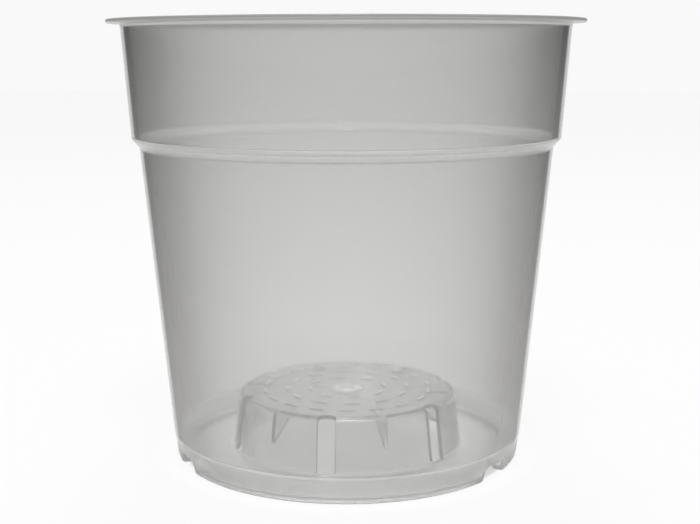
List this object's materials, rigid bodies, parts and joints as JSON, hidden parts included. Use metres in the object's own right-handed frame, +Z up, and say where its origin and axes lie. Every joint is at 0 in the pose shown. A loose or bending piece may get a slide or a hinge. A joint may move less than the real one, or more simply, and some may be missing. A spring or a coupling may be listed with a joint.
{
  "type": "orchid pot",
  "caption": "Translucent round plant pot with a flat rim flange, wide collar, tapered wall, notched foot and a raised slotted dome in the base that drains and airs the roots.",
  "frame": {"origin": "centre of the foot, on the surface that the pot stands on", "axes": "+Z up along the pot's axis; -Y towards the dome's first slot"},
  "size_m": [0.14, 0.14, 0.131],
  "materials": {
    "clear_plastic": "translucent moulded polypropylene, hazy, satin inside and smooth outside"
  },
  "bodies": {
    "root": {"rim_flange": "clear_plastic", "collar_wall": "clear_plastic", "shoulder_step": "clear_plastic", "main_wall": "clear_plastic", "foot_band": "clear_plastic", "heel_arc_1": "clear_plastic", "heel_arc_2": "clear_plastic", "heel_arc_3": "clear_plastic", "floor_ring": "clear_plastic", "dome_panel_1": "clear_plastic", "dome_panel_2": "clear_plastic", "dome_panel_3": "clear_plastic", "dome_panel_4": "clear_plastic", "dome_panel_5": "clear_plastic", "dome_panel_6": "clear_plastic", "dome_cap": "clear_plastic"}
  },
  "joints": []
}
